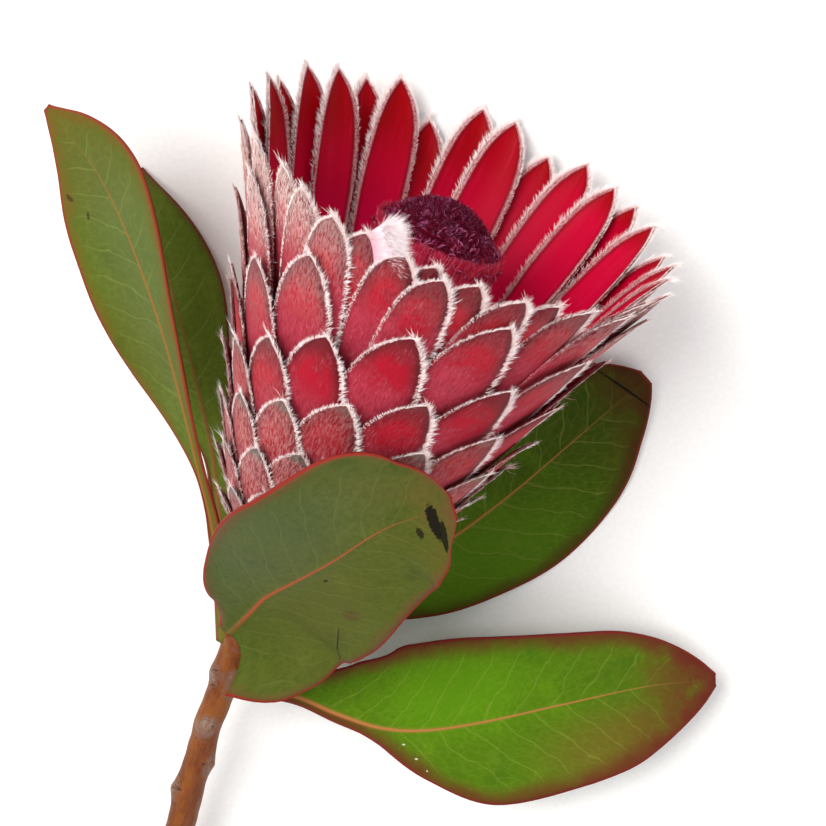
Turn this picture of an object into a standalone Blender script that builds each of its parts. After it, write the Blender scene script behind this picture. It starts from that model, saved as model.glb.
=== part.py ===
"""A cut protea stem lying on its side: stem, spiral head of bracts, florets and five leaves.

Units are metres, +Z up. Sizes below are in millimetres and are turned to metres once, by MM.
The stem runs along +Y toward the head, and the head leans to +X.
"""
import math
import random

import bmesh
import bpy
from mathutils import Euler, Vector

MM = 0.001

# Shift that puts the origin on the surface, under the middle of the whole stem.
REST_SHIFT = Vector((5.34, 41.33, -0.21))

# Head: the stem enters at its foot, and its axis leans right of +Y and rises from the surface.
HEAD_FOOT = Vector((-32.3, -47.2, 29.5))
HEAD_LEAN_DEG = 23.15
HEAD_RISE_DEG = 12.4
HEAD_FLARE = 0.30          # radius gained per millimetre of height
SHOULDER = 19.5            # radius of the rounded foot
SHOULDER_RUN = 9.0

# Bracts: one spiral from the foot to the rim.
BRACT_COUNT = 148
DIVERGENCE_DEG = 137.6
SPIRAL_START_DEG = 58.7
FIRST_TIP = 9.6            # height of the first bract's tip
TIP_STEP = 0.72            # each next tip is this much higher,
SPREAD_FROM = 58           # and more and more so from this bract on,
TIP_GAIN = 0.0065          # by this much times the square of the count
INNER_FROM = 112           # up to the first bract of the rim
RIM_HEIGHT = 114.5
RIM_TILT = 5.5             # the rim is this much higher on its far side
RIM_TILT_TURN_DEG = 184.0
RIM_EASE = 1.8
RIM_SHIFT_DEG = 12.8       # the rim's bracts are turned this far on
NEST = 4.5                 # how far a bract sinks below the head's outline, tip to core,
NEST_RUN = 32.0            # over this length,
NEST_RUN_SHARE = 0.75      # or over this share of its height, for the short ones at the foot
ROOT_SINK = 1.35           # roots go this many times the nest run deep,
ROOT_RADIUS = 1.5          # but no nearer the axis than this
TURN_JITTER_DEG = 2.0

# A bract's blade: a pointed arch that narrows to its root.
BRACT_THICKNESS = 0.7
BRACT_COLUMNS = 3
OUTER_ROWS = (2.5, 7.5, 16.0)
FOOT_ROWS = (4.0, 12.0)    # fewer rows on the small bracts
FOOT_COUNT = 50            # of the foot
BRACT_WIDTH = 19.0
FOOT_WIDTH_SHARE = 0.5     # the first bracts are this share as wide
WIDTH_GROWTH = 24.0
ARCH_RUN = 6.5             # the outline widens fast within this length of the tip
TIP_SKEW = 1.3             # and the tip stands this far right of the blade's middle
FULL_RUN = 26.0            # nest run from which rows and arch have their full length
TAPER_FROM = 25.0
TAPER_RUN = 25.0
ROOT_TAPER = 0.3
TIP_FLARE = 0.9            # tips stand this far off the bract above,
TIP_FLARE_RUN = 4.0        # within this length
FLARE_JITTER = 0.25

# The long straps of the rim.
INNER_ROWS = (3.0, 10.0, 30.0)
INNER_WIDTH = 13.5
INNER_ARCH_RUN = 5.0
INNER_ROOT_HEIGHT = 50.0

# Receptacle: a cup that follows the outline, one nest deeper.
CORE_TOP = 58.0
CORE_RINGS = 8
CORE_SIDES = 30
CORE_EASE = 6.0
COLLAR_HEIGHT = -2.0
COLLAR_RADIUS = 4.9
CUP_FLOOR = 16.0
CUP_FOOT_RADIUS = 6.0
CUP_FLARE = 0.36

# Florets: a sheaf in the cup, with tufts in a spiral over its dome.
SHEAF_SIDES = 20
SHEAF_FOOT_RADIUS = 5.2
SHEAF_RADIUS = 15.2
SHEAF_SHOULDER = 96.0
DOME_RISE = 7.0
DOME_TOP = 110.0
DOME_RADIUS = 16.4
DOME_RINGS = (0.8, 0.45, 0.0)
GOLDEN_DEG = 137.508
TUFT_COUNT = 78
TUFT_SIDES = 5
TUFT_RADIUS = 1.35
TUFT_LENGTH = 9.0
TUFT_DEPTH = 3.6           # tufts stand this far out of the sheaf's own dome
EDGE_SHARE = 0.86          # tufts past this share of the dome's radius run down its side
EDGE_TUFT_LENGTH = 34.0

FIT_GAP = 0.35             # clearance where one node seats on another

# Stem: centre line from the cut end to the head, with radii, then its scars and buds.
STEM_LINE = (
    ((-72.8, -166.0, 3.8), 3.6),
    ((-66.2, -138.0, 8.5), 3.6),
    ((-59.9, -111.8, 12.8), 3.8),
    ((-55.3, -94.7, 15.5), 3.6),
    ((-51.5, -82.0, 17.6), 3.6),
    ((-47.0, -70.5, 19.9), 3.7),
    ((-44.6, -62.0, 22.0), 3.6),
    ((-40.6, -56.2, 24.6), 3.8),
    ((-35.9, -51.9, 27.2), 4.1),
    ((-31.2, -45.0, 30.0), 4.1),
)
STEM_SIDES = 12
STEM_RINGS = 34
# Each scar or bud: place, radius, stretch along the stem.
STEM_KNOBS = (
    ((-65.2, -123.0, 12.6), 2.3, 1.6),
    ((-61.0, -101.0, 15.4), 2.3, 1.7),
    ((-51.6, -94.0, 17.2), 2.2, 1.6),
    ((-52.6, -83.5, 20.3), 2.4, 1.4),
    ((-49.5, -68.6, 21.6), 2.4, 1.8),
    ((-44.8, -70.0, 22.4), 1.7, 1.8),
    ((-65.8, -146.0, 5.6), 2.2, 1.6),
)
CUT_SLANT_DEG = 28.0
CUT_SHIFT = Vector((0.5, 2.5, 0.0))
CUTTER_SIZE = 30.0

# Leaves: stations along each midrib as (place, left half-width, right half-width, roll).
# Left and right are seen from above, looking from the stem to the leaf's tip.
LEAF_THICKNESS = 0.8
LEAF_ROWS = 12
LEAF_COLUMNS = 7
LEAF_SAMPLES = 4           # samples of the midrib for each row
WAVES = 14.0               # waves of the margin, in radians along the leaf
LOBE_SHARE = 0.4           # a lobe moves the foot's right margin, less and less to here
BLUNT_END = 0.03           # keeps the tip a narrow edge
LEAVES = {
    "leaf_front": {
        "colour": (0.075, 0.135, 0.055),
        "stations": (
            ((-45.8, -57.4, 26.8), 3.0, 20.0, 0.0),
            ((-43.2, -54.2, 31.0), 5.0, 27.0, -2.0),
            ((-39.8, -49.5, 38.0), 9.5, 30.0, -5.0),
            ((-35.3, -43.5, 46.5), 17.0, 29.0, -9.0),
            ((-26.9, -36.6, 58.0), 24.0, 27.0, -13.0),
            ((-18.6, -30.3, 66.5), 26.5, 24.0, -15.0),
            ((-7.1, -21.2, 75.0), 24.5, 20.5, -14.0),
            ((2.5, -17.0, 78.5), 19.0, 19.0, -12.0),
            ((9.2, -15.0, 79.0), 12.0, 15.0, -8.0),
        ),
        "facing": (0.0, -0.156, 0.988),
        "round_from": 0.80, "round_power": 0.5, "arch": 0.05, "wave": 0.5, "lobe": (-10.8, -6.5, 0.0),
    },
    "leaf_lower_right": {
        "colour": (0.13, 0.23, 0.045),
        "stations": (
            ((-47.0, -73.4, 18.9), 2.2, 2.2, 0.0),
            ((-31.1, -75.4, 19.0), 5.5, 2.0, 0.0),
            ((-19.2, -80.5, 18.6), 14.8, 2.4, 0.0),
            ((-8.4, -84.2, 18.2), 21.2, 4.2, 0.0),
            ((2.5, -85.0, 18.0), 22.8, 12.5, 0.0),
            ((17.3, -83.2, 17.0), 22.5, 21.8, 0.0),
            ((39.2, -78.5, 16.0), 18.8, 22.2, 0.0),
            ((60.0, -74.8, 13.0), 14.8, 18.5, 0.0),
            ((77.5, -73.8, 10.0), 10.5, 14.5, 0.0),
        ),
        "round_from": 0.78, "round_power": 0.6, "arch": 0.06, "wave": 0.8,
    },
    "leaf_right_back": {
        "colour": (0.10, 0.19, 0.045),
        "stations": (
            ((-39.6, -56.0, 22.2), 2.2, 2.2, 0.0),
            ((-21.1, -49.8, 11.6), 7.0, 8.5, 0.0),
            ((-3.3, -44.4, 6.8), 10.0, 15.0, -2.0),
            ((9.2, -38.4, 4.7), 14.0, 18.8, -5.0),
            ((24.0, -27.8, 2.5), 18.0, 22.3, -6.0),
            ((38.2, -15.6, 2.2), 19.5, 20.0, -6.0),
            ((50.0, -5.0, 2.9), 17.0, 13.5, -4.0),
            ((59.4, 3.4, 5.0), 12.5, 9.0, 0.0),
        ),
        "round_from": 0.82, "round_power": 0.5, "arch": 0.05, "wave": 0.5,
    },
    "leaf_left_front": {
        "colour": (0.08, 0.145, 0.05),
        "stations": (
            ((-47.6, -61.0, 22.5), 2.0, 2.0, 30.0),
            ((-48.4, -34.0, 30.5), 1.8, 2.2, 45.0),
            ((-51.6, -15.2, 36.0), 1.8, 2.2, 48.0),
            ((-57.0, 9.9, 40.0), 13.0, 3.4, 38.0),
            ((-61.5, 26.2, 41.0), 16.0, 5.0, 32.0),
            ((-67.6, 43.0, 40.0), 15.0, 9.0, 24.0),
            ((-74.0, 56.0, 37.5), 13.5, 12.2, 18.0),
            ((-80.6, 65.0, 34.5), 10.5, 11.5, 14.0),
            ((-87.6, 72.4, 30.0), 7.0, 7.0, 10.0),
        ),
        "round_from": 0.74, "round_power": 0.6, "arch": 0.10, "wave": 0.6,
    },
    "leaf_left_back": {
        "colour": (0.05, 0.105, 0.035),
        "stations": (
            ((-44.0, -57.4, 20.4), 2.2, 2.2, 0.0),
            ((-47.8, -34.9, 17.5), 2.2, 3.4, 4.0),
            ((-50.3, -14.0, 15.0), 2.6, 5.0, 4.0),
            ((-55.0, 6.1, 12.0), 12.0, 9.5, 0.0),
            ((-59.6, 23.4, 8.5), 14.0, 12.6, 0.0),
            ((-64.4, 41.0, 4.1), 11.5, 11.0, 0.0),
            ((-68.9, 56.1, 0.7), 6.0, 6.0, 0.0),
        ),
        "round_from": 0.70, "round_power": 0.6, "arch": 0.05, "wave": 0.5,
    },
}

COLOURS = {
    "stem": ((0.22, 0.085, 0.03), 0.75),
    "bracts": ((0.46, 0.045, 0.075), 0.6),
    "florets": ((0.10, 0.008, 0.035), 0.9),
}
LEAF_ROUGHNESS = 0.45
SHARP_DEG = 35.0


def clear_scene():
    """Starts from an empty file."""
    for old in list(bpy.data.objects):
        bpy.data.objects.remove(old, do_unlink=True)


def material(name, colour, roughness):
    """One plain finish."""
    mat = bpy.data.materials.new(name)
    mat.use_nodes = True
    bsdf = mat.node_tree.nodes["Principled BSDF"]
    bsdf.inputs["Base Color"].default_value = (*colour, 1.0)
    bsdf.inputs["Roughness"].default_value = roughness
    bsdf.inputs["Metallic"].default_value = 0.0
    return mat


def finish(obj, colour, roughness):
    """Colour and shading."""
    obj.data.materials.clear()
    obj.data.materials.append(material(obj.name, colour, roughness))
    obj.data.shade_smooth()
    obj.data.set_sharp_from_angle(angle=math.radians(SHARP_DEG))


def mesh_object(name, bm):
    """Makes an object of a finished bmesh, faces pointing out, in metres."""
    bmesh.ops.recalc_face_normals(bm, faces=bm.faces)
    bmesh.ops.scale(bm, vec=(MM, MM, MM), verts=bm.verts)
    mesh = bpy.data.meshes.new(name)
    bm.to_mesh(mesh)
    bm.free()
    obj = bpy.data.objects.new(name, mesh)
    bpy.context.scene.collection.objects.link(obj)
    return obj


def apply_modifiers(obj):
    """Replaces the object's mesh by what its modifiers give."""
    graph = bpy.context.evaluated_depsgraph_get()
    graph.update()
    mesh = bpy.data.meshes.new_from_object(obj.evaluated_get(graph))
    obj.modifiers.clear()
    obj.data = mesh


def join_to(obj, pieces):
    """Fuses the pieces, each a closed object, into obj by one union."""
    group = bpy.data.collections.new(obj.name + " pieces")
    bpy.context.scene.collection.children.link(group)
    for piece in pieces:
        bpy.context.scene.collection.objects.unlink(piece)
        group.objects.link(piece)
    union = obj.modifiers.new("union", "BOOLEAN")
    union.operation = "UNION"
    union.operand_type = "COLLECTION"
    union.collection = group
    apply_modifiers(obj)
    for piece in pieces:
        bpy.data.objects.remove(piece, do_unlink=True)
    bpy.data.collections.remove(group)


def cut_away(obj, cutter):
    """Cuts one closed object out of obj."""
    cut = obj.modifiers.new("cut", "BOOLEAN")
    cut.operation = "DIFFERENCE"
    cut.object = cutter
    apply_modifiers(obj)


def keep_largest_body(obj):
    """Drops the loose scraps that a union or a cut can leave."""
    bm = bmesh.new()
    bm.from_mesh(obj.data)
    bodies = []
    unseen = set(bm.verts)
    while unseen:
        body = {unseen.pop()}
        front = list(body)
        while front:
            vert = front.pop()
            for edge in vert.link_edges:
                other = edge.other_vert(vert)
                if other in unseen:
                    unseen.remove(other)
                    body.add(other)
                    front.append(other)
        bodies.append(body)
    largest = max(bodies, key=len)
    scraps = [vert for body in bodies if body is not largest for vert in body]
    bmesh.ops.delete(bm, geom=scraps, context="VERTS")
    bm.to_mesh(obj.data)
    bm.free()


def thickened(name, bm, thickness):
    """A closed blade from a sheet, split into triangles alike on both faces."""
    bmesh.ops.triangulate(bm, faces=bm.faces)
    obj = mesh_object(name, bm)
    solid = obj.modifiers.new("thickness", "SOLIDIFY")
    solid.thickness = thickness * MM
    solid.offset = 0.0
    solid.use_even_offset = True
    apply_modifiers(obj)
    return obj


def spread(count):
    """Even values from -1 to 1."""
    return [2.0 * k / (count - 1) - 1.0 for k in range(count)]


def bridge(bm, first, second):
    """Fills the strip between two rows of corners, the first of which may be one point."""
    for k in range(len(second) - 1):
        if len(first) == 1:
            bm.faces.new((first[0], second[k], second[k + 1]))
        else:
            bm.faces.new((first[k], second[k], second[k + 1], first[k + 1]))


def smooth_route(points, count):
    """Evenly spaced samples of a smooth curve through the points, in any number of values."""
    ends = [tuple(2 * a - b for a, b in zip(points[0], points[1]))]
    ends.extend(points)
    ends.append(tuple(2 * a - b for a, b in zip(points[-1], points[-2])))
    lengths = [0.0]
    for a, b in zip(points, points[1:]):
        lengths.append(lengths[-1] + (Vector(b[:3]) - Vector(a[:3])).length)
    samples = []
    for k in range(count):
        goal = lengths[-1] * k / (count - 1)
        i = max(j for j in range(len(points) - 1) if lengths[j] <= goal + 1e-9)
        t = (goal - lengths[i]) / (lengths[i + 1] - lengths[i])
        samples.append(tuple(
            0.5 * (2 * b + (c - a) * t + (2 * a - 5 * b + 4 * c - d) * t ** 2
                   + (3 * b - a - 3 * c + d) * t ** 3)
            for a, b, c, d in zip(ends[i], ends[i + 1], ends[i + 2], ends[i + 3])))
    return samples


def head_axes():
    """The head's own directions: along its axis, to its right, and up from the surface."""
    lean = math.radians(HEAD_LEAN_DEG)
    rise = math.radians(HEAD_RISE_DEG)
    along = Vector((math.sin(lean) * math.cos(rise), math.cos(lean) * math.cos(rise), math.sin(rise)))
    side = along.cross(Vector((0.0, 0.0, 1.0))).normalized()
    return along, side, side.cross(along)


ALONG, SIDE, UPWARD = head_axes()


def head_point(height, turn, radius):
    """A point on the head: turn 0 faces up, and grows to the right."""
    outward = SIDE * math.sin(turn) + UPWARD * math.cos(turn)
    return HEAD_FOOT + ALONG * height + outward * radius


def head_radius(height):
    """The head's outline: a rounded foot that opens into a straight flare."""
    return HEAD_FLARE * height + SHOULDER * (1.0 - math.exp(-max(height, 0.0) / SHOULDER_RUN))


def core_radius(height):
    """The receptacle's outline, under the bracts' free parts."""
    return head_radius(height) - NEST * (1.0 - math.exp(-height / CORE_EASE))


def turned_solid(name, profile, sides):
    """Spins a profile of (height, radius) round the head's axis; its ends are on the axis."""
    bm = bmesh.new()
    rings = []
    for height, radius in profile:
        if radius == 0.0:
            rings.append([bm.verts.new(head_point(height, 0.0, 0.0))])
        else:
            turns = (2.0 * math.pi * k / sides for k in range(sides))
            rings.append([bm.verts.new(head_point(height, turn, radius)) for turn in turns])
    for low, high in zip(rings, rings[1:]):
        for k in range(sides):
            corners = [low[k % len(low)], low[(k + 1) % len(low)],
                       high[(k + 1) % len(high)], high[k % len(high)]]
            bm.faces.new(list(dict.fromkeys(corners)))
    return mesh_object(name, bm)


def bract_place(index, rng):
    """Where the numbered bract stands: its turn, its order up the spiral, and its tip's height."""
    jitter = rng.uniform(-TURN_JITTER_DEG, TURN_JITTER_DEG)
    shift = RIM_SHIFT_DEG if index >= INNER_FROM else 0.0
    turn = math.radians(SPIRAL_START_DEG + DIVERGENCE_DEG * index + shift + jitter)
    spread_steps = max(0, min(index, INNER_FROM) - SPREAD_FROM)
    order = FIRST_TIP + TIP_STEP * index + TIP_GAIN * spread_steps ** 2
    top = RIM_HEIGHT + RIM_TILT * math.cos(turn - math.radians(RIM_TILT_TURN_DEG))
    tip = top - RIM_EASE * math.log(1.0 + math.exp((top - order) / RIM_EASE))
    return turn, order, tip


def bract(index, rng):
    """One bract: a curved blade whose outline is a pointed arch, its root sunk in the core."""
    turn, order, tip = bract_place(index, rng)
    run = min(NEST_RUN, NEST_RUN_SHARE * order)
    flare = TIP_FLARE + rng.uniform(-FLARE_JITTER, FLARE_JITTER)
    if index >= INNER_FROM:
        rows = (*INNER_ROWS, tip - INNER_ROOT_HEIGHT)
        width, arch_run = INNER_WIDTH, INNER_ARCH_RUN
    else:
        size = min(1.0, run / FULL_RUN)
        upper_rows = FOOT_ROWS if index < FOOT_COUNT else OUTER_ROWS
        rows = (*(row * size for row in upper_rows), run * ROOT_SINK)
        growth = 1.0 - math.exp(-order / WIDTH_GROWTH)
        width = BRACT_WIDTH * (FOOT_WIDTH_SHARE + (1.0 - FOOT_WIDTH_SHARE) * growth)
        arch_run = ARCH_RUN * size
    skew = TIP_SKEW * width / BRACT_WIDTH

    def place(below, across):
        height = tip - below
        arch = 1.0 - math.exp(-below / arch_run)
        taper = min(1.0, max(0.0, below - TAPER_FROM) / TAPER_RUN)
        half = 0.5 * width * arch * (1.0 - ROOT_TAPER * taper)
        radius = head_radius(height) - NEST * (order - height) / run
        radius = max(radius + flare * math.exp(-below / TIP_FLARE_RUN), ROOT_RADIUS)
        offset = across * half - skew * arch
        return head_point(height, turn + offset / max(radius, half), radius)

    bm = bmesh.new()
    above = [bm.verts.new(place(0.0, 0.0))]
    for below in rows:
        ring = [bm.verts.new(place(below, across)) for across in spread(BRACT_COLUMNS)]
        bridge(bm, above, ring)
        above = ring
    return thickened("bract", bm, BRACT_THICKNESS)


def make_bracts(stem_clearance):
    """The receptacle cup with every bract grown from it."""
    outer = [(COLLAR_HEIGHT, 0.0), (COLLAR_HEIGHT, COLLAR_RADIUS)]
    for k in range(1, CORE_RINGS + 1):
        height = CORE_TOP * (k / CORE_RINGS) ** 1.5
        outer.append((height, core_radius(height)))
    cup_top = CUP_FOOT_RADIUS + CUP_FLARE * (CORE_TOP - CUP_FLOOR)
    inner = [(CORE_TOP, cup_top), (CUP_FLOOR, CUP_FOOT_RADIUS), (CUP_FLOOR, 0.0)]
    core = turned_solid("bracts", outer + inner, CORE_SIDES)
    rng = random.Random(7)
    join_to(core, [bract(index, rng) for index in range(BRACT_COUNT)])
    cut_away(core, stem_clearance)
    keep_largest_body(core)
    return core


def tuft(index):
    """One floret: a slim five-sided club, leaning out with its place on the dome."""
    share = math.sqrt((index + 0.5) / TUFT_COUNT)
    turn = math.radians(GOLDEN_DEG) * index
    top = DOME_TOP - DOME_RISE * share ** 2.4
    radius = DOME_RADIUS * share
    lean = (SHEAF_RADIUS - SHEAF_FOOT_RADIUS) / (SHEAF_SHOULDER - CUP_FLOOR) * share
    length = EDGE_TUFT_LENGTH if share > EDGE_SHARE else TUFT_LENGTH
    bm = bmesh.new()
    rings = []
    for below, size in ((length, 0.75), (2.5, 1.0), (0.8, 0.8)):
        centre = head_point(top - below, turn, radius - lean * below)
        spins = [2.0 * math.pi * k / TUFT_SIDES for k in range(TUFT_SIDES)]
        offsets = [SIDE * math.cos(spin) + UPWARD * math.sin(spin) for spin in spins]
        rings.append([bm.verts.new(centre + offset * TUFT_RADIUS * size) for offset in offsets])
    crown = bm.verts.new(head_point(top, turn, radius))
    for k in range(TUFT_SIDES):
        n = (k + 1) % TUFT_SIDES
        for low, high in zip(rings, rings[1:]):
            bm.faces.new((low[k], low[n], high[n], high[k]))
        bm.faces.new((rings[-1][k], rings[-1][n], crown))
    bm.faces.new(rings[0])
    return mesh_object("tuft", bm)


def make_florets():
    """The sheaf with a spiral of tufts over its dome and long ones down its side."""
    foot = CUP_FLOOR + FIT_GAP
    profile = [(foot, 0.0), (foot, SHEAF_FOOT_RADIUS), (SHEAF_SHOULDER, SHEAF_RADIUS)]
    for share in DOME_RINGS:
        profile.append((DOME_TOP - TUFT_DEPTH - DOME_RISE * share ** 2, SHEAF_RADIUS * share))
    sheaf = turned_solid("florets", profile, SHEAF_SIDES)
    join_to(sheaf, [tuft(index) for index in range(TUFT_COUNT)])
    keep_largest_body(sheaf)
    return sheaf


def stem_tube(name, extra):
    """The stem's tube, fatter and longer by extra; also used to seat what touches the stem."""
    curve = bpy.data.curves.new(name, "CURVE")
    curve.dimensions = "3D"
    curve.bevel_depth = MM
    curve.bevel_resolution = STEM_SIDES // 4 - 1
    curve.use_fill_caps = True
    curve.twist_mode = "MINIMUM"
    spline = curve.splines.new("POLY")
    route = smooth_route([(*place, radius) for place, radius in STEM_LINE], STEM_RINGS)
    top = Vector(route[-1][:3])
    top += (top - Vector(route[-2][:3])).normalized() * extra
    route[-1] = (*top, route[-1][3])
    spline.points.add(len(route) - 1)
    for point, (x, y, z, radius) in zip(spline.points, route):
        point.co = (x * MM, y * MM, z * MM, 1.0)
        point.radius = radius + extra
    obj = bpy.data.objects.new(name, curve)
    bpy.context.scene.collection.objects.link(obj)
    graph = bpy.context.evaluated_depsgraph_get()
    mesh = bpy.data.meshes.new_from_object(obj.evaluated_get(graph))
    bpy.data.objects.remove(obj, do_unlink=True)
    bpy.data.curves.remove(curve)
    tube = bpy.data.objects.new(name, mesh)
    bpy.context.scene.collection.objects.link(tube)
    return tube


def knob(place, radius, stretch):
    """A scar or bud: a low ball, longer along the stem."""
    bm = bmesh.new()
    bmesh.ops.create_icosphere(bm, subdivisions=1, radius=radius)
    bmesh.ops.scale(bm, vec=(1.0, stretch, 1.0), verts=bm.verts)
    bmesh.ops.translate(bm, vec=place, verts=bm.verts)
    return mesh_object("knob", bm)


def make_stem():
    """The woody stem with its scars, cut off on a slant at the free end."""
    stem = stem_tube("stem", 0.0)
    join_to(stem, [knob(*spec) for spec in STEM_KNOBS])
    bm = bmesh.new()
    bmesh.ops.create_cube(bm, size=CUTTER_SIZE)
    bmesh.ops.translate(bm, vec=(0.0, -0.5 * CUTTER_SIZE, 0.0), verts=bm.verts)
    cutter = mesh_object("cut", bm)
    start, following = Vector(STEM_LINE[0][0]), Vector(STEM_LINE[1][0])
    heading = math.atan2(following.x - start.x, following.y - start.y)
    cutter.rotation_euler = Euler((math.radians(-CUT_SLANT_DEG), 0.0, -heading))
    cutter.location = (start + CUT_SHIFT) * MM
    cut_away(stem, cutter)
    bpy.data.objects.remove(cutter, do_unlink=True)
    keep_largest_body(stem)
    return stem


def row_share(even):
    """Rows stand closer at a leaf's foot and tip, where its outline turns."""
    return 0.5 * even + 0.25 * (1.0 - math.cos(math.pi * even))


def leaf_row(samples, pick, spec):
    """The corners of one row across a leaf: rolled, arched and waved."""
    x, y, z, left, right, roll = samples[pick]
    ahead = Vector(samples[min(pick + 1, len(samples) - 1)][:3])
    behind = Vector(samples[max(pick - 1, 0)][:3])
    forward = (ahead - behind).normalized()
    side = forward.cross(Vector(spec.get("facing", (0.0, 0.0, 1.0)))).normalized()
    lift = side.cross(forward)
    across = side * math.cos(math.radians(roll)) + lift * math.sin(math.radians(roll))
    up = across.cross(forward)
    share = pick / (len(samples) - 1)
    past = max(0.0, (share - spec["round_from"]) / (1.0 - spec["round_from"]))
    ending = max(BLUNT_END, 1.0 - past ** 2) ** spec["round_power"]
    lobe = Vector(spec.get("lobe", (0.0, 0.0, 0.0))) * max(0.0, 1.0 - share / LOBE_SHARE)
    corners = []
    for u in spread(LEAF_COLUMNS):
        half = (right if u > 0 else left) * ending
        wave = spec["wave"] * abs(u) ** 3 * math.sin(WAVES * share + 2.0 * u)
        bend = spec["arch"] * half * u * u + wave
        corners.append(Vector((x, y, z)) + across * half * u + up * bend + lobe * max(u, 0.0) ** 2)
    return corners


def make_leaf(name, spec, stem_clearance):
    """One leathery leaf: a grid along its midrib, thickened, its foot cut to hug the stem."""
    stations = [(*place, left, right, roll) for place, left, right, roll in spec["stations"]]
    last = LEAF_ROWS * LEAF_SAMPLES
    samples = smooth_route(stations, last + 1)
    bm = bmesh.new()
    previous = None
    for k in range(LEAF_ROWS + 1):
        pick = round(last * row_share(k / LEAF_ROWS))
        row = [bm.verts.new(corner) for corner in leaf_row(samples, pick, spec)]
        if previous:
            bridge(bm, previous, row)
        previous = row
    leaf = thickened(name, bm, LEAF_THICKNESS)
    cut_away(leaf, stem_clearance)
    keep_largest_body(leaf)
    return leaf


def lay_down(objects):
    """Hangs every piece on one empty that sets the whole stem over the origin."""
    rest = bpy.data.objects.new("lying", None)
    bpy.context.scene.collection.objects.link(rest)
    rest.location = REST_SHIFT * MM
    for obj in objects:
        obj.parent = rest


def main():
    clear_scene()
    clearance = stem_tube("stem clearance", FIT_GAP)
    pieces = [make_stem(), make_bracts(clearance), make_florets()]
    for obj in pieces:
        finish(obj, *COLOURS[obj.name])
    for name, spec in LEAVES.items():
        leaf = make_leaf(name, spec, clearance)
        finish(leaf, spec["colour"], LEAF_ROUGHNESS)
        pieces.append(leaf)
    bpy.data.objects.remove(clearance, do_unlink=True)
    lay_down(pieces)


main()
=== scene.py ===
"""Looks of a cut protea stem lying on a pale floor: hairy bracts, florets, leaves and bark.

Sizes are in millimetres in the part's own modelling frame and are moved to the row's frame,
and turned to metres, by in_frame.
"""
import math
import random
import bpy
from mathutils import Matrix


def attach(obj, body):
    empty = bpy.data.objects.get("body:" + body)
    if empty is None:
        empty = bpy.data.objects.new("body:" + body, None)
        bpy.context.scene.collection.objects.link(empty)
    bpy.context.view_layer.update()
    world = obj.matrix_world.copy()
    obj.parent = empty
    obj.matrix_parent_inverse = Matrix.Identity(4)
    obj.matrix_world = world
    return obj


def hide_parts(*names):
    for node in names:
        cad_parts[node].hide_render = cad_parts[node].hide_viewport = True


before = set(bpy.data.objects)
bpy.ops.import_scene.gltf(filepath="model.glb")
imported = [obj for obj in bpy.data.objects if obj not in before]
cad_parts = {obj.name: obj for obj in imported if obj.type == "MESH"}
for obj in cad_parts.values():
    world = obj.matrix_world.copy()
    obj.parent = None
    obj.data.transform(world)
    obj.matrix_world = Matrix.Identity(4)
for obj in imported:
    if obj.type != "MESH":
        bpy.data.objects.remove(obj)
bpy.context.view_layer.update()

from types import SimpleNamespace

import bmesh
import bpy
import numpy as np
from mathutils import Matrix, Vector, noise

MM = 0.001
REST_SHIFT = np.array((5.34, 41.33, -0.21))    # modelling frame to row frame

# Camera: the photograph's viewpoint over the middle of the modelling frame.
CAMERA_TILT_DEG = 9.0
CAMERA_DISTANCE = 600.0
CAMERA_AIM = np.array((0.0, 0.0, 40.0))
CAMERA_LENS = 108.96

# Studio, in metres and watts: what the lights face, each one's place, size, power and colour, and
# the strength of the even surround.
LIGHT_AIM = Vector((0.0, 0.03, 0.03))
LIGHTS = {
    "key": ((-0.8, 0.55, 1.4), 1.1, 31.0, "FFFDFA"),
    "fill": ((0.9, -0.7, 1.2), 1.4, 9.0, "FFFFFF"),
}
SURROUND_STRENGTH = 0.62

# Head: its foot, its axis and its outline, as in the solid.
HEAD_FOOT = np.array((-32.3, -47.2, 29.5))
HEAD_LEAN_DEG = 23.15
HEAD_RISE_DEG = 12.4
HEAD_FLARE = 0.3
SHOULDER = 19.5
SHOULDER_RUN = 9.0

# Spiral of bracts, as in the solid, but for ARCH_RUN and TIP_SKEW: the skins' arches are more
# pointed and lean further to one side, by up to 0.6 mm.
BRACT_COUNT = 148
DIVERGENCE_DEG = 137.6
SPIRAL_START_DEG = 58.7
FIRST_TIP = 9.6
TIP_STEP = 0.72
SPREAD_FROM = 58
TIP_GAIN = 0.0065
INNER_FROM = 112
RIM_HEIGHT = 114.5
RIM_TILT = 5.5
RIM_TILT_TURN_DEG = 184.0
RIM_EASE = 1.8
RIM_SHIFT_DEG = 12.8
NEST = 4.5
NEST_RUN = 32.0
NEST_RUN_SHARE = 0.75
ROOT_SINK = 1.35
ROOT_RADIUS = 1.5
TURN_JITTER_DEG = 2.0
BRACT_WIDTH = 19.0
FOOT_WIDTH_SHARE = 0.5
WIDTH_GROWTH = 24.0
ARCH_RUN = 7.5
TIP_SKEW = 1.9
FULL_RUN = 26.0
TAPER_FROM = 25.0
TAPER_RUN = 25.0
ROOT_TAPER = 0.3
TIP_FLARE = 0.9
TIP_FLARE_RUN = 4.0
FLARE_JITTER = 0.25
INNER_WIDTH = 13.5
INNER_ARCH_RUN = 5.0
INNER_ROOT_HEIGHT = 50.0

# A bract's skin: its grid, its thickness, how far its middle stands proud of its margins, and how
# far its patterns are from the next bract's.
SKIN_COLUMNS = 8
SKIN_ROWS = 16
SKIN_THICKNESS = 0.5
CROWN = 0.5
INNER_CROWN = 1.7
INNER_CROWN_RUN = 30.0
PATTERN_STEP = 7.3

# Felt on the outer faces: the order at which it begins, and how soon it is full.
FELT_FROM = 78.0
FELT_RUN = 30.0

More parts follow.
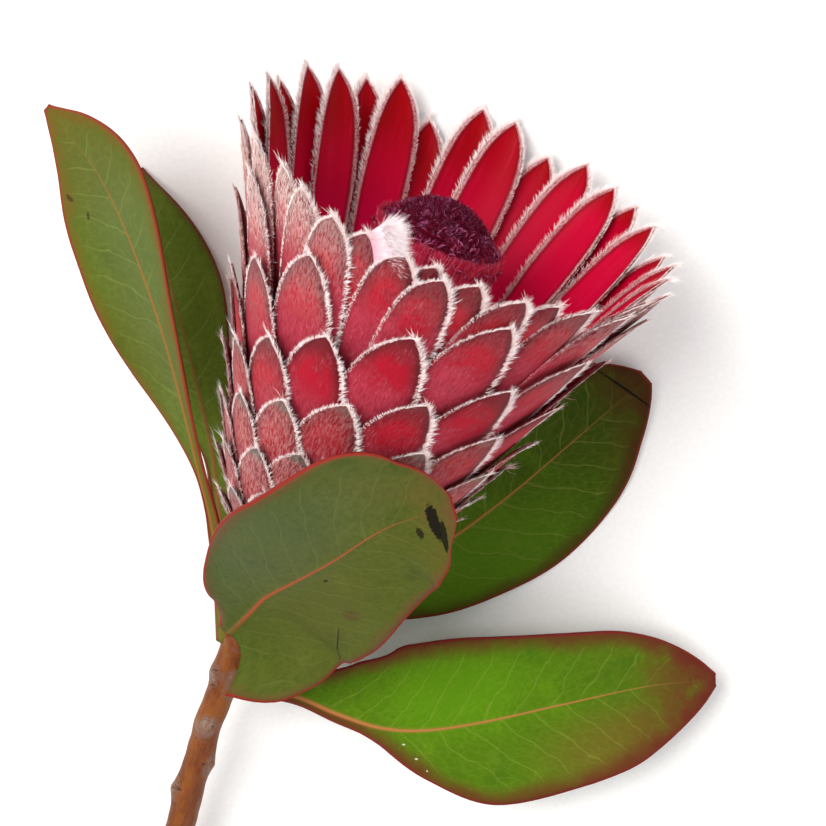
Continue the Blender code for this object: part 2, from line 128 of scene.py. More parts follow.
# Hairs along a bract's margin, in millimetres, how far down from its tip they run, and the bract
# whose tip carries a long plume.
HAIR_SPACING = 0.06
HAIR_LENGTH = 1.6
HAIR_WIDTH = 0.11
FRINGE_RUN = 29.0
INNER_FRINGE_RUN = 40.0
PLUME_BRACT = 138
PLUME_HAIRS = 2600
PLUME_REACH = 6.5

# Florets: a sheaf with a domed top, the curled tips on it, and how many hairs they carry.
SHEAF_RADIUS = 14.2
DOME_RISE = 10.0
DOME_TOP = 109.0
DOME_RADIUS = 15.0
SHEAF_SINK = 2.6
GOLDEN_DEG = 137.508
CURL_COUNT = 560
FELT_TUFTS = 2300
HAIRS_PER_TUFT = 20
SILK_HAIRS = 25000

# Colours of the florets, from the side of the sheaf to the top of the dome.
DOME_RAMP = ((0.1, "E8A4B0"), (0.36, "D86080"), (0.56, "B82048"), (0.72, "8A0E2E"),
             (0.92, "640A28"))
SILK_RAMP = ((0.15, "F4C2CC"), (0.4, "EC84A0"), (0.58, "EC4A74"), (0.74, "D42850"),
             (0.92, "92143A"))

# Stem: centre line with radii, as in the solid, then scars and buds as (centre, radius, stretch).
STEM_LINE = (
    (-72.8, -166.0, 3.8, 3.6), (-66.2, -138.0, 8.5, 3.6), (-59.9, -111.8, 12.8, 3.8),
    (-55.3, -94.7, 15.5, 3.6), (-51.5, -82.0, 17.6, 3.6), (-47.0, -70.5, 19.9, 3.7),
    (-44.6, -62.0, 22.0, 3.6), (-40.6, -56.2, 24.6, 3.8), (-35.9, -51.9, 27.2, 4.1),
    (-31.2, -45.0, 30.0, 4.1),
)
STEM_KNOBS = (
    ((-65.2, -123.0, 12.6), 2.3, 1.6),
    ((-61.0, -101.0, 15.4), 2.3, 1.7),
    ((-51.6, -94.0, 17.2), 2.2, 1.6),
    ((-52.6, -83.5, 20.3), 2.4, 1.4),
    ((-49.5, -68.6, 21.6), 2.4, 1.8),
    ((-44.8, -70.0, 22.4), 1.7, 1.8),
    ((-65.8, -146.0, 5.6), 2.2, 1.6),
)
CUT_SLANT_DEG = 28.0
CUT_SHIFT = np.array((0.5, 2.5, 0.0))

# Leaves: stations along each midrib as its place, left half-width, right half-width and roll,
# where and how bluntly the tip rounds off, how the blade arches and waves, and its lobe's shift.
LEAF_THICKNESS = 0.8
WAVES = 14.0
LOBE_SHARE = 0.4
BLUNT_END = 0.03
LEAVES = {
    "leaf_front": dict(
        facing=(0.0, -0.156, 0.988), lobe=(-14.0, -6.5, 0.0),
        round_from=0.8, round_power=0.5, arch=0.05, wave=0.5,
        stations=(
            (-45.8, -57.4, 26.8, 3.0, 16.0, 0.0), (-43.2, -54.2, 31.0, 5.0, 27.0, -2.0),
            (-39.8, -49.5, 38.0, 9.5, 30.0, -5.0), (-35.3, -43.5, 46.5, 17.0, 29.0, -9.0),
            (-26.9, -36.6, 58.0, 24.0, 27.0, -13.0), (-18.6, -30.3, 66.5, 26.5, 24.0, -15.0),
            (-7.1, -21.2, 75.0, 24.5, 20.5, -14.0), (2.5, -17.0, 78.5, 19.0, 19.0, -12.0),
            (9.2, -15.0, 79.0, 12.0, 15.0, -8.0))),
    "leaf_lower_right": dict(
        round_from=0.78, round_power=0.6, arch=0.06, wave=0.8,
        stations=(
            (-47.0, -73.4, 18.9, 2.2, 2.2, 0.0), (-31.1, -75.4, 19.0, 5.5, 2.0, 0.0),
            (-19.2, -80.5, 18.6, 14.8, 2.4, 0.0), (-8.4, -84.2, 18.2, 21.2, 4.2, 0.0),
            (2.5, -85.0, 18.0, 22.8, 12.5, 0.0), (17.3, -83.2, 17.0, 22.5, 21.8, 0.0),
            (39.2, -78.5, 16.0, 18.8, 22.2, 0.0), (60.0, -74.8, 13.0, 14.8, 18.5, 0.0),
            (77.5, -73.8, 10.0, 10.5, 14.5, 0.0))),
    "leaf_right_back": dict(
        round_from=0.82, round_power=0.5, arch=0.05, wave=0.5,
        stations=(
            (-39.6, -56.0, 22.2, 2.2, 2.2, 0.0), (-21.1, -49.8, 11.6, 7.0, 8.5, 0.0),
            (-3.3, -44.4, 6.8, 10.0, 15.0, -2.0), (9.2, -38.4, 4.7, 14.0, 18.8, -5.0),
            (24.0, -27.8, 2.5, 18.0, 22.3, -6.0), (38.2, -15.6, 2.2, 19.5, 20.0, -6.0),
            (50.0, -5.0, 2.9, 17.0, 13.5, -4.0), (59.4, 3.4, 5.0, 12.5, 9.0, 0.0))),
    "leaf_left_front": dict(
        round_from=0.74, round_power=0.6, arch=0.1, wave=0.6,
        stations=(
            (-47.6, -61.0, 22.5, 2.0, 2.0, 30.0), (-48.4, -34.0, 30.5, 1.8, 2.2, 45.0),
            (-51.6, -15.2, 36.0, 1.8, 2.2, 48.0), (-57.0, 9.9, 40.0, 13.0, 3.4, 38.0),
            (-61.5, 26.2, 41.0, 16.0, 5.0, 32.0), (-67.6, 43.0, 40.0, 15.0, 9.0, 24.0),
            (-74.0, 56.0, 37.5, 13.5, 12.2, 18.0), (-80.6, 65.0, 34.5, 10.5, 11.5, 14.0),
            (-87.6, 72.4, 30.0, 7.0, 7.0, 10.0))),
    "leaf_left_back": dict(
        round_from=0.7, round_power=0.6, arch=0.05, wave=0.5,
        stations=(
            (-44.0, -57.4, 20.4, 2.2, 2.2, 0.0), (-47.8, -34.9, 17.5, 2.2, 3.4, 4.0),
            (-50.3, -14.0, 15.0, 2.6, 5.0, 4.0), (-55.0, 6.1, 12.0, 12.0, 9.5, 0.0),
            (-59.6, 23.4, 8.5, 14.0, 12.6, 0.0), (-64.4, 41.0, 4.1, 11.5, 11.0, 0.0),
            (-68.9, 56.1, 0.7, 6.0, 6.0, 0.0))),
}


def in_frame(points):
    """Modelling millimetres to metres in the row's frame."""
    return (np.asarray(points, float) + REST_SHIFT) * MM


def unit(vectors):
    """Each vector at length one."""
    return vectors / np.maximum(np.linalg.norm(vectors, axis=-1, keepdims=True), 1e-9)


def head_axes():
    """The head's own directions: along its axis, to its right, and up from the surface."""
    lean = math.radians(HEAD_LEAN_DEG)
    rise = math.radians(HEAD_RISE_DEG)
    flat = math.cos(rise)
    along = np.array((math.sin(lean) * flat, math.cos(lean) * flat, math.sin(rise)))
    side = unit(np.cross(along, (0.0, 0.0, 1.0)))
    return along, side, np.cross(side, along)


ALONG, SIDE, UPWARD = head_axes()


def away(turn):
    """Directions straight out from the head's axis; turn 0 faces up and grows to the right."""
    return np.sin(turn)[..., None] * SIDE + np.cos(turn)[..., None] * UPWARD


def around(turn):
    """Directions round the head, the way that turn grows."""
    return np.cos(turn)[..., None] * SIDE - np.sin(turn)[..., None] * UPWARD


def head_points(height, turn, radius):
    """Points on the head."""
    height, turn, radius = np.broadcast_arrays(height, turn, radius)
    return HEAD_FOOT + height[..., None] * ALONG + away(turn) * radius[..., None]


def head_radius(height):
    """The head's outline."""
    return HEAD_FLARE * height + SHOULDER * (1.0 - np.exp(-np.maximum(height, 0.0) / SHOULDER_RUN))


def smooth_route(points, count):
    """Evenly spaced samples of a smooth curve through the points, in any number of values."""
    points = np.array(points, float)
    ends = np.vstack((2 * points[0] - points[1], points, 2 * points[-1] - points[-2]))
    steps = np.linalg.norm(np.diff(points[:, :3], axis=0), axis=1)
    lengths = np.concatenate(([0.0], np.cumsum(steps)))
    samples = []
    for goal in np.linspace(0.0, lengths[-1], count):
        i = min(int(np.searchsorted(lengths, goal + 1e-9, side="right")) - 1, len(points) - 2)
        t = (goal - lengths[i]) / steps[i]
        a, b, c, d = ends[i:i + 4]
        samples.append(0.5 * (2 * b + (c - a) * t + (2 * a - 5 * b + 4 * c - d) * t ** 2
                              + (3 * b - a - 3 * c + d) * t ** 3))
    return np.array(samples)


# Nodes and colours.

def linear(hex_text):
    """An sRGB hex colour as linear red, green, blue and alpha."""
    values = [int(hex_text[k:k + 2], 16) / 255.0 for k in (0, 2, 4)]
    return (*(v / 12.92 if v <= 0.04045 else ((v + 0.055) / 1.055) ** 2.4 for v in values), 1.0)


def add(tree, kind, sockets=None, out=0, ramp=None, **settings):
    """Adds a node with its settings, values and links, and gives the output that is used next."""
    node = tree.nodes.new("ShaderNode" + kind)
    for key, value in settings.items():
        setattr(node, key, value)
    for key, value in (sockets or {}).items():
        if isinstance(value, bpy.types.NodeSocket):
            tree.links.new(value, node.inputs[key])
        else:
            node.inputs[key].default_value = value
    if ramp:
        stops = node.color_ramp.elements
        while len(stops) < len(ramp):
            stops.new(1.0)
        for stop, (place, colour) in zip(stops, ramp):
            stop.position = place
            stop.color = linear(colour)
    return node.outputs[out] if len(node.outputs) else node


def new_material(name):
    """An empty material and its tree."""
    mat = bpy.data.materials.new(name)
    mat.use_nodes = True
    mat.node_tree.nodes.clear()
    return mat, mat.node_tree


def paint(tree, base, *coats):
    """Lays colours over a base: each coat is a colour, its strength, and masks that all allow it.

    A mask is a value with the end where it hides and the end where it shows, in either order.
    """
    for colour, share, *masks in coats:
        for value, hidden, shown in masks:
            share = add(tree, "MapRange", {"Value": value, "From Min": hidden, "From Max": shown,
                                           "To Max": share}, interpolation_type="SMOOTHSTEP")
        layers = [linear(layer) if isinstance(layer, str) else layer for layer in (base, colour)]
        base = add(tree, "Mix", {0: share, 6: layers[0], 7: layers[1]}, out=2, data_type="RGBA")
    return base


def finish(mat, base, gloss, relief=None, strength=0.3, depth=0.25):
    """Ends a material: its colour, its gloss, and its relief to a depth in millimetres."""
    tree = mat.node_tree
    sockets = {"Base Color": base, **gloss}
    if relief:
        sockets["Normal"] = add(tree, "Bump", {"Strength": strength, "Distance": depth * MM,
                                               "Height": relief})
    add(tree, "OutputMaterial", {"Surface": add(tree, "BsdfPrincipled", sockets)})
    return mat


# Meshes.

def new_object(name, data, materials=()):
    """Links an object with its data and materials."""
    obj = bpy.data.objects.new(name, data)
    bpy.context.scene.collection.objects.link(obj)
    for mat in materials:
        data.materials.append(mat)
    return obj


def place_piece(obj, slot, *nodes):
    """Rides on the one body and stands for the named solids; its slot is not used."""
    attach(obj, "root")
    if nodes:
        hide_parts(*nodes)


def new_bmesh():
    """An empty bmesh with a UV map."""
    bm = bmesh.new()
    bm.loops.layers.uv.new("UVMap")
    return bm


def grid(columns, rows):
    """A square grid as a bmesh with its UV map; returns it and its corners from 0 to 1."""
    bm = new_bmesh()
    bmesh.ops.create_grid(bm, x_segments=columns, y_segments=rows, size=0.5, calc_uvs=True)
    corners = np.array([vert.co[:2] for vert in bm.verts]) + 0.5
    return bm, corners


def set_points(bm, points):
    """Moves the corners of a bmesh."""
    for vert, point in zip(bm.verts, points):
        vert.co = point


def set_values(bm, **named):
    """Keeps one number, or three, by each name on each corner of a bmesh."""
    for name, values in named.items():
        kinds = bm.verts.layers.float_vector if np.ndim(values) == 2 else bm.verts.layers.float
        layer = kinds.get(name) or kinds.new(name)
        for vert, value in zip(bm.verts, values):
            vert[layer] = value


def join(whole, bm):
    """Adds a finished bmesh to a whole one."""
    part = bpy.data.meshes.new("part")
    bm.to_mesh(part)
    bm.free()
    whole.from_mesh(part)
    bpy.data.meshes.remove(part)


def to_object(name, bm, materials):
    """Ends a bmesh as a smooth object."""
    mesh = bpy.data.meshes.new(name)
    bm.to_mesh(mesh)
    bm.free()
    mesh.shade_smooth()
    return new_object(name, mesh, materials)


def hairs(name, roots, aims, bends, flats, lengths, widths, mat, tuft=1):
    """Fine tapering hairs: each leaves its root along its aim and bends over past its middle.

    The UV map runs along each hair, and across it holds a shade that each tuft of hairs shares.
    """
    count = len(roots)
    flats = flats * widths[:, None] * 0.5
    middle = roots + aims * (lengths * 0.5)[:, None]
    tips = middle + unit(aims + bends) * (lengths * 0.5)[:, None]
    points = np.stack((roots - flats, roots + flats, middle + flats * 0.85, middle - flats * 0.85,
                       tips), axis=1).reshape(-1, 3)
    first = np.arange(count) * 5
    lower = np.stack((first, first + 1, first + 2, first + 3), axis=1).tolist()
    upper = np.stack((first + 3, first + 2, first + 4), axis=1).tolist()
    mesh = bpy.data.meshes.new(name)
    mesh.from_pydata(in_frame(points).tolist(), [], lower + upper)
    shades = np.repeat(np.random.default_rng(3).random(count // tuft), tuft)
    along_lower = np.tile((0.0, 0.0, 0.5, 0.5), count)
    along_upper = np.tile((0.5, 0.5, 1.0), count)
    across = np.concatenate((np.repeat(shades, 4), np.repeat(shades, 3)))
    uv = np.stack((across, np.concatenate((along_lower, along_upper))), axis=1)
    mesh.uv_layers.new(name="UVMap").data.foreach_set("uv", uv.astype(np.float32).ravel())
    return new_object(name, mesh, [mat])


# Bracts.

def bract_rules():
    """Where every bract stands and how big it is, by the solid's own spiral."""
    rng = random.Random(7)
    rules = []
    for index in range(BRACT_COUNT):
        inner = index >= INNER_FROM
        jitter = rng.uniform(-TURN_JITTER_DEG, TURN_JITTER_DEG)
        shift = RIM_SHIFT_DEG if inner else 0.0
        turn = math.radians(SPIRAL_START_DEG + DIVERGENCE_DEG * index + shift + jitter)
        spread = max(0, min(index, INNER_FROM) - SPREAD_FROM)
        order = FIRST_TIP + TIP_STEP * index + TIP_GAIN * spread ** 2
        top = RIM_HEIGHT + RIM_TILT * math.cos(turn - math.radians(RIM_TILT_TURN_DEG))
        run = min(NEST_RUN, NEST_RUN_SHARE * order)
        tip = top - RIM_EASE * math.log(1.0 + math.exp((top - order) / RIM_EASE))
        left, right = max(0.0, -math.sin(turn + 0.25)), max(0.0, math.sin(turn - 0.6))
        weather = 0.12 + 0.88 * left + 0.35 * right
        rule = SimpleNamespace(
            index=index, turn=turn, order=order, inner=inner, tip=tip, run=run,
            flare=TIP_FLARE + rng.uniform(-FLARE_JITTER, FLARE_JITTER),
            felt=weather * min(1.0, max(0.0, (order - FELT_FROM) / FELT_RUN)))
        if inner:
            rule.width, rule.arch_run, rule.crown = INNER_WIDTH, INNER_ARCH_RUN, INNER_CROWN
            rule.length = tip - INNER_ROOT_HEIGHT
        else:
            growth = 1.0 - math.exp(-order / WIDTH_GROWTH)
            share = FOOT_WIDTH_SHARE + (1.0 - FOOT_WIDTH_SHARE) * growth
            rule.width, rule.arch_run = BRACT_WIDTH * share, ARCH_RUN * min(1.0, run / FULL_RUN)
            rule.crown, rule.length = CROWN, run * ROOT_SINK
        rules.append(rule)
    return rules


def half_width(rule, below):
    """Half the blade's width at a distance below its tip."""
    taper = np.clip((below - TAPER_FROM) / TAPER_RUN, 0.0, 1.0)
    arch = 1.0 - np.exp(-below / rule.arch_run)
    return 0.5 * rule.width * arch * (1.0 - ROOT_TAPER * taper)


def blade(rule, below, across, lift=0.0):
    """Points on a bract's middle surface, and each one's turn round the head."""
    height = rule.tip - below
    half = half_width(rule, below)
    radius = head_radius(height) - NEST * (rule.order - height) / rule.run
    radius = radius + rule.flare * np.exp(-below / TIP_FLARE_RUN)
    crown = rule.crown * np.exp(-(below / INNER_CROWN_RUN) ** 2) * np.minimum(1.0, below / 6.0)
    radius = np.maximum(radius + crown * (0.5 - across ** 2), ROOT_RADIUS)
    skew = TIP_SKEW * rule.width / BRACT_WIDTH * (1.0 - np.exp(-below / rule.arch_run))
    turn = rule.turn + (across * half - skew) / np.maximum(radius, half)
    return head_points(height, turn, radius + lift), turn


def make_skins(rules, outside, inside):
    """All the bracts as one piece: each a pointed arch of two faces, silky out and glossy in.

    Each keeps its place as millimetres across and below its tip, its distance from the margin,
    how old and dry it is, how much felt it wears, and how far to the right it stands, which
    sets the painted light on the inner faces.
    """
    whole = new_bmesh()
    for name in ("edge", "old", "felt", "right"):
        whole.verts.layers.float.new(name)
    whole.verts.layers.float_vector.new("place")
    for rule in rules:
        bm, corners = grid(SKIN_COLUMNS, SKIN_ROWS)
        across = 2.0 * corners[:, 0] - 1.0
        below = rule.length * corners[:, 1] ** 1.7
        points, _turns = blade(rule, below, across)
        half = half_width(rule, below)
        same = np.ones(len(below))
        own = PATTERN_STEP * rule.index * same
        set_points(bm, in_frame(points))
        set_values(bm, place=np.stack((across * half, below, own), axis=1),
                   edge=half * (1.0 - np.abs(across)),
                   old=same * np.clip(1.65 - rule.order / 50.0, 0.0, 1.0),
                   felt=same * rule.felt, right=same * math.sin(rule.turn))
        bmesh.ops.remove_doubles(bm, verts=bm.verts, dist=1e-6)
        middle = bm.faces[:][len(bm.faces) // 2]
        if middle.normal.dot(Vector(away(np.array(rule.turn)))) < 0.0:
            bmesh.ops.reverse_faces(bm, faces=bm.faces)
        join(whole, bm)
    skins = to_object("bract_skins", whole, [outside, inside])
    solid = skins.modifiers.new("thickness", "SOLIDIFY")
    solid.thickness = SKIN_THICKNESS * MM
    solid.offset = -1.0
    solid.material_offset = 1
    return skins


def blade_ways(rule, below, across):
    """Unit ways on a blade towards its tip: along this line, and down its middle."""
    ways = []
    for line in (across, np.zeros(len(below))):
        higher, _turns = blade(rule, np.maximum(below - 0.25, 0.0), line)
        lower, _turns = blade(rule, below + 0.25, line)
        ways.append(unit(higher - lower))
    return ways


def covers(rule, height, turn):
    """Where a bract hides these places from inside the head."""
    below = rule.tip - height
    aside = (turn - rule.turn + math.pi) % (2.0 * math.pi) - math.pi
    near = np.abs(aside) * head_radius(height) < half_width(rule, np.maximum(below, 0.0)) + 0.5
    return near & (below > -0.5)


def make_fringe(name, rules, mat, seed, inset=0.12, lift=0.05, spacing=HAIR_SPACING):
    """The woolly margins of some bracts: hairs that stand out from the margin and lean to the tip.

    A lift below zero lines the inner faces, and only where no other bract stands before them.
    """
    rng = np.random.default_rng(seed)
    rows = []
    for rule in rules:
        run = INNER_FRINGE_RUN if rule.inner else min(rule.length, FRINGE_RUN)
        for side in (-1.0, 1.0):
            levels = np.linspace(0.0, run, 200)
            line, turns = blade(rule, levels, np.full(len(levels), side))
            steps = np.linalg.norm(np.diff(line, axis=0), axis=1)
            length = np.concatenate(([0.0], np.cumsum(steps)))
            place = np.sort(rng.random(int(length[-1] / spacing))) * length[-1]
            below = np.interp(place, length, levels)
            dense = 0.42 + 0.58 * np.exp(-np.maximum(below - 7.0, 0.0) / 8.0)
            kept = rng.random(len(place)) < dense
            turn = np.interp(place, length, turns)
            for other in rules:
                if lift < 0.0 and other.order > rule.order:
                    kept &= ~covers(other, rule.tip - below, turn)
            place, below = place[kept], below[kept]
            count = len(place)
            across = side * (1.0 - inset * rng.random(count) ** 2)
            roots, turn = blade(rule, below, across, lift=lift)
            tangent, upward = blade_ways(rule, below, np.full(count, side))
            outward = side * around(turn)
            rise = np.sum(tangent * upward, axis=1)[:, None]
            drift = np.sum(tangent * outward, axis=1)[:, None]
            normal = unit(rise * outward - drift * upward)
            marks = np.arange(0.0, length[-1] + 2.0, 0.6)
            clump = np.interp(place, marks, rng.normal(size=len(marks))) * 1.15
            lean = 28.0 + 11.0 * clump + 13.0 * rng.normal(size=count)
            lean = np.radians(lean + 46.0 * np.exp(-below / 2.6))[:, None]
            out = 0.05 + 0.14 * rng.normal(size=count) + 0.08 * clump
            out = (out if lift > 0.0 else 0.3 * out)[:, None]
            aims = unit(normal * np.cos(lean) + tangent * np.sin(lean) + away(turn) * out)
            bends = 0.3 * tangent + 0.2 * rng.normal(size=(count, 3))
            flats = unit(np.cross(aims, away(turn)) + 0.3 * rng.normal(size=(count, 3)))
            lengths = HAIR_LENGTH * (1.0 + 0.25 * clump) * (0.35 + 0.85 * rng.random(count))
            lengths = lengths * (1.0 + 0.42 * side + 0.75 * np.exp(-below / 2.2))
            fade = np.exp(-np.maximum(below - 7.0, 0.0) / (7.0 + 4.0 * side))
            lengths = lengths * (0.55 + 0.45 * fade)
            widths = HAIR_WIDTH * (0.7 + 0.5 * rng.random(count))
            rows.append((roots, aims, bends, flats, lengths, widths))
    return hairs(name, *(np.concatenate(column) for column in zip(*rows)), mat)


def make_down(rules, mat):
    """Felt of silky hairs on the outer faces of the rim's bracts, thickest at the tips."""
    rng = np.random.default_rng(12)
    rows = []
    for rule in rules:
        count = int(1000 * (rule.felt - 0.25))
        if count < 200:
            continue
        below = 16.0 * rng.random(count) ** 1.6
        across = rng.uniform(-1.0, 1.0, count)
        across = np.sign(across) * np.abs(across) ** 0.7 * 0.97
        roots, turn = blade(rule, below, across, lift=0.05)
        _tangent, upward = blade_ways(rule, below, across)
        sway = rng.normal(size=count)[:, None]
        aims = unit(upward + around(turn) * (0.35 * sway + 0.35 * across[:, None])
                    + away(turn) * (0.16 + 0.1 * rng.random(count))[:, None])
        bends = 0.25 * rng.normal(size=(count, 3)) - 0.1 * away(turn)
        flats = unit(np.cross(aims, away(turn)) + 0.3 * rng.normal(size=(count, 3)))
        lengths = 1.0 + rng.random(count)
        widths = 0.07 + 0.04 * rng.random(count)
        rows.append((roots, aims, bends, flats, lengths, widths))
    return hairs("rim_down", *(np.concatenate(column) for column in zip(*rows)), mat)


def make_plume(rule, mat):
    """The long brush of hair from the right margin of one front bract."""
    count = PLUME_HAIRS
    rng = np.random.default_rng(51)
    below = PLUME_REACH * rng.random(count) ** 1.2
    across = 1.0 - 0.25 * rng.random(count)
    roots, turn = blade(rule, below, across, lift=0.1)
    _tangent, upward = blade_ways(rule, below, across)
    fan = (0.85 + (1.0 - below / PLUME_REACH) + 0.3 * rng.normal(size=count))[:, None]
    out = (0.1 + 0.16 * rng.random(count))[:, None]
    aims = unit(around(turn) + upward * fan + away(turn) * out)
    bends = 0.35 * rng.normal(size=(count, 3)) + 0.25 * around(turn)
    flats = unit(np.cross(aims, away(turn)) + 0.3 * rng.normal(size=(count, 3)))
    lengths = (8.5 + 4.5 * rng.random(count)) * (1.0 - 0.3 * below / PLUME_REACH)
    widths = 0.13 + 0.07 * rng.random(count)
    return hairs("plume", roots, aims, bends, flats, lengths, widths, mat)


# Florets.

def make_dome(mat):
    """The sheaf of florets under its hairs: turned round the head's axis."""
    profile = [(16.4, 0.0), (16.4, 5.0), (40.0, 9.0), (70.0, 12.2), (93.0, 13.8)]
    for share in (1.0, 0.97, 0.9, 0.75, 0.5, 0.25, 0.0):
        height = DOME_TOP - SHEAF_SINK - DOME_RISE * share ** 2.2
        profile.append((height, (SHEAF_RADIUS - 0.4) * share))
    bm = new_bmesh()
    line = [bm.verts.new(in_frame(head_points(height, 0.0, radius))) for height, radius in profile]
    edges = [bm.edges.new(pair) for pair in zip(line, line[1:])]
    bmesh.ops.spin(bm, geom=line + edges, cent=in_frame(HEAD_FOOT), axis=ALONG,
                   angle=2.0 * math.pi, steps=48, use_merge=True)
    bmesh.ops.remove_doubles(bm, verts=bm.verts, dist=1e-6)
    bmesh.ops.recalc_face_normals(bm, faces=bm.faces)
    return to_object("floret_sheaf", bm, [mat])


def dome_place(share, turn, sink=0.0):
    """A point on the dome at a share of its radius, with the way that faces out there.

    Shares past one run on down the side of the sheaf.
    """
    past = np.maximum(share - 1.0, 0.0)
    share = share - past
    height = DOME_TOP - DOME_RISE * share ** 2.2 - 40.0 * past - sink
    points = head_points(height, turn, DOME_RADIUS * share - 3.0 * past)
    facing = unit(ALONG + away(turn) * (1.5 * share ** 1.6 + 8.0 * past)[..., None])
    return points, facing


def make_curls(mat):
    """The dome's curled tips: hooked clubs in a spiral, felted together."""
    rng = np.random.default_rng(21)
    whole = new_bmesh()
    for index in range(CURL_COUNT):
        share = 0.92 * np.array(math.sqrt((index + 0.5) / CURL_COUNT))
        turn = np.array(math.radians(GOLDEN_DEG) * index + rng.normal() * 0.05)
        point, facing = dome_place(share, turn, sink=3.1)
        hook = unit(np.cross(facing, rng.normal(size=3)))
        side = np.cross(facing, hook)
        rise = 1.5 + 0.9 * rng.random()
        bend = 0.9 + 0.7 * rng.random()
        thick = 0.34 + 0.12 * rng.random()
        bm, corners = grid(6, 6)
        spin = 2.0 * math.pi * corners[:, 0]
        travel = corners[:, 1]
        angle = travel * 2.2
        centre = point + np.outer(rise * (np.sin(angle) + 0.35 * travel), facing)
        centre = centre + np.outer(bend * (1.0 - np.cos(angle)), hook)
        forward = np.outer(np.cos(angle) * rise, facing) + np.outer(np.sin(angle) * bend, hook)
        normal = np.cross(unit(forward), side)
        size = thick * (1.0 - 0.75 * np.clip(travel - 0.55, 0.0, 1.0) ** 2 / 0.2025)
        points = centre + normal * (np.cos(spin) * size)[:, None]
        set_points(bm, in_frame(points + np.outer(np.sin(spin) * size, side)))
        bmesh.ops.remove_doubles(bm, verts=bm.verts, dist=1e-6)
        join(whole, bm)
    bmesh.ops.recalc_face_normals(whole, faces=whole.faces)
    return to_object("floret_curls", whole, [mat])


def make_felt(mat):
    """Short felt over the dome's curls, in small tufts that thin out down the side."""
    tufts, tuft = FELT_TUFTS, HAIRS_PER_TUFT
    count = tufts * tuft
    rng = np.random.default_rng(31)
    share = np.sqrt(rng.random(tufts))
    share = share + 0.16 * (rng.random(tufts) < 0.35) * rng.random(tufts) ** 1.5
    share = np.repeat(share, tuft) + 0.03 * rng.normal(size=count)
    turn = np.repeat(rng.random(tufts) * 2.0 * math.pi, tuft)
    turn = turn + 0.03 * rng.normal(size=count) / np.clip(share, 0.1, 1.0)
    roots, facing = dome_place(np.abs(share), turn, sink=0.2 + 0.9 * rng.random(count))
    lie = np.repeat(rng.normal(size=(tufts, 3)), tuft, axis=0)
    curl = np.repeat(rng.normal(size=(tufts, 3)), tuft, axis=0)
    aims = unit(facing + 0.65 * lie + 0.35 * rng.normal(size=(count, 3)))
    bends = 0.9 * curl + 0.35 * rng.normal(size=(count, 3))
    flats = unit(np.cross(aims, rng.normal(size=(count, 3))))
    lengths = 0.9 + 1.1 * rng.random(count)
    widths = 0.15 + 0.11 * rng.random(count)
    return hairs("floret_felt", roots, aims, bends, flats, lengths, widths, mat, tuft)


def make_silk(mat):
    """Long silky hairs up the sheaf's side, dark where they meet the dome."""
    count = SILK_HAIRS
    rng = np.random.default_rng(41)
    height = 70.0 + 29.0 * rng.random(count) ** 0.8
    turn = rng.random(count) * 2.0 * math.pi
    roots = head_points(height, turn, 12.3 + (height - 72.0) * 0.09 + 0.7 * rng.random(count))
    wisp = np.sin(turn * 23.0 + height * 0.15)[:, None]
    aims = unit(ALONG + away(turn) * (0.16 + 0.12 * rng.random(count))[:, None]
                + around(turn) * (0.1 * wisp + 0.14 * rng.normal(size=count)[:, None]))
    bends = -0.3 * away(turn) + 0.25 * rng.normal(size=(count, 3))
    flats = unit(np.cross(aims, away(turn)) + 0.4 * rng.normal(size=(count, 3)))
    lengths = np.minimum(4.0 + 4.0 * rng.random(count), np.maximum(1.6, 102.5 - height))
    widths = 0.15 + 0.08 * rng.random(count)
    return hairs("floret_silk", roots, aims, bends, flats, lengths, widths, mat)


# Leaves.

def leaf_row(samples, pick, spec, spans):
    """One row across a leaf: its corners and half-widths, rolled, arched and waved."""
    x, y, z, left, right, roll = samples[pick]
    ahead = samples[min(pick + 1, len(samples) - 1)][:3]
    behind = samples[max(pick - 1, 0)][:3]
    forward = unit(ahead - behind)
    side = unit(np.cross(forward, spec.get("facing", (0.0, 0.0, 1.0))))
    lift = np.cross(side, forward)
    across = side * math.cos(math.radians(roll)) + lift * math.sin(math.radians(roll))
    up = np.cross(across, forward)
    share = pick / (len(samples) - 1)
    past = max(0.0, (share - spec["round_from"]) / (1.0 - spec["round_from"]))
    ending = max(BLUNT_END, 1.0 - past ** 2) ** spec["round_power"]
    lobe = np.array(spec.get("lobe", (0.0, 0.0, 0.0))) * max(0.0, 1.0 - share / LOBE_SHARE)
    corners, halves = [], []
    for u in spans:
        half = (right if u > 0 else left) * ending
        wave = spec["wave"] * abs(u) ** 3 * math.sin(WAVES * share + 2.0 * u)
        bend = spec["arch"] * half * u * u + wave
        rib = 0.3 * math.exp(-(u * half / 0.6) ** 2) * (1.0 - 0.7 * share)
        corners.append(np.array((x, y, z)) + across * half * u + up * (bend + rib)
                       + lobe * max(u, 0.0) ** 2)
        halves.append(half)
    return corners, halves


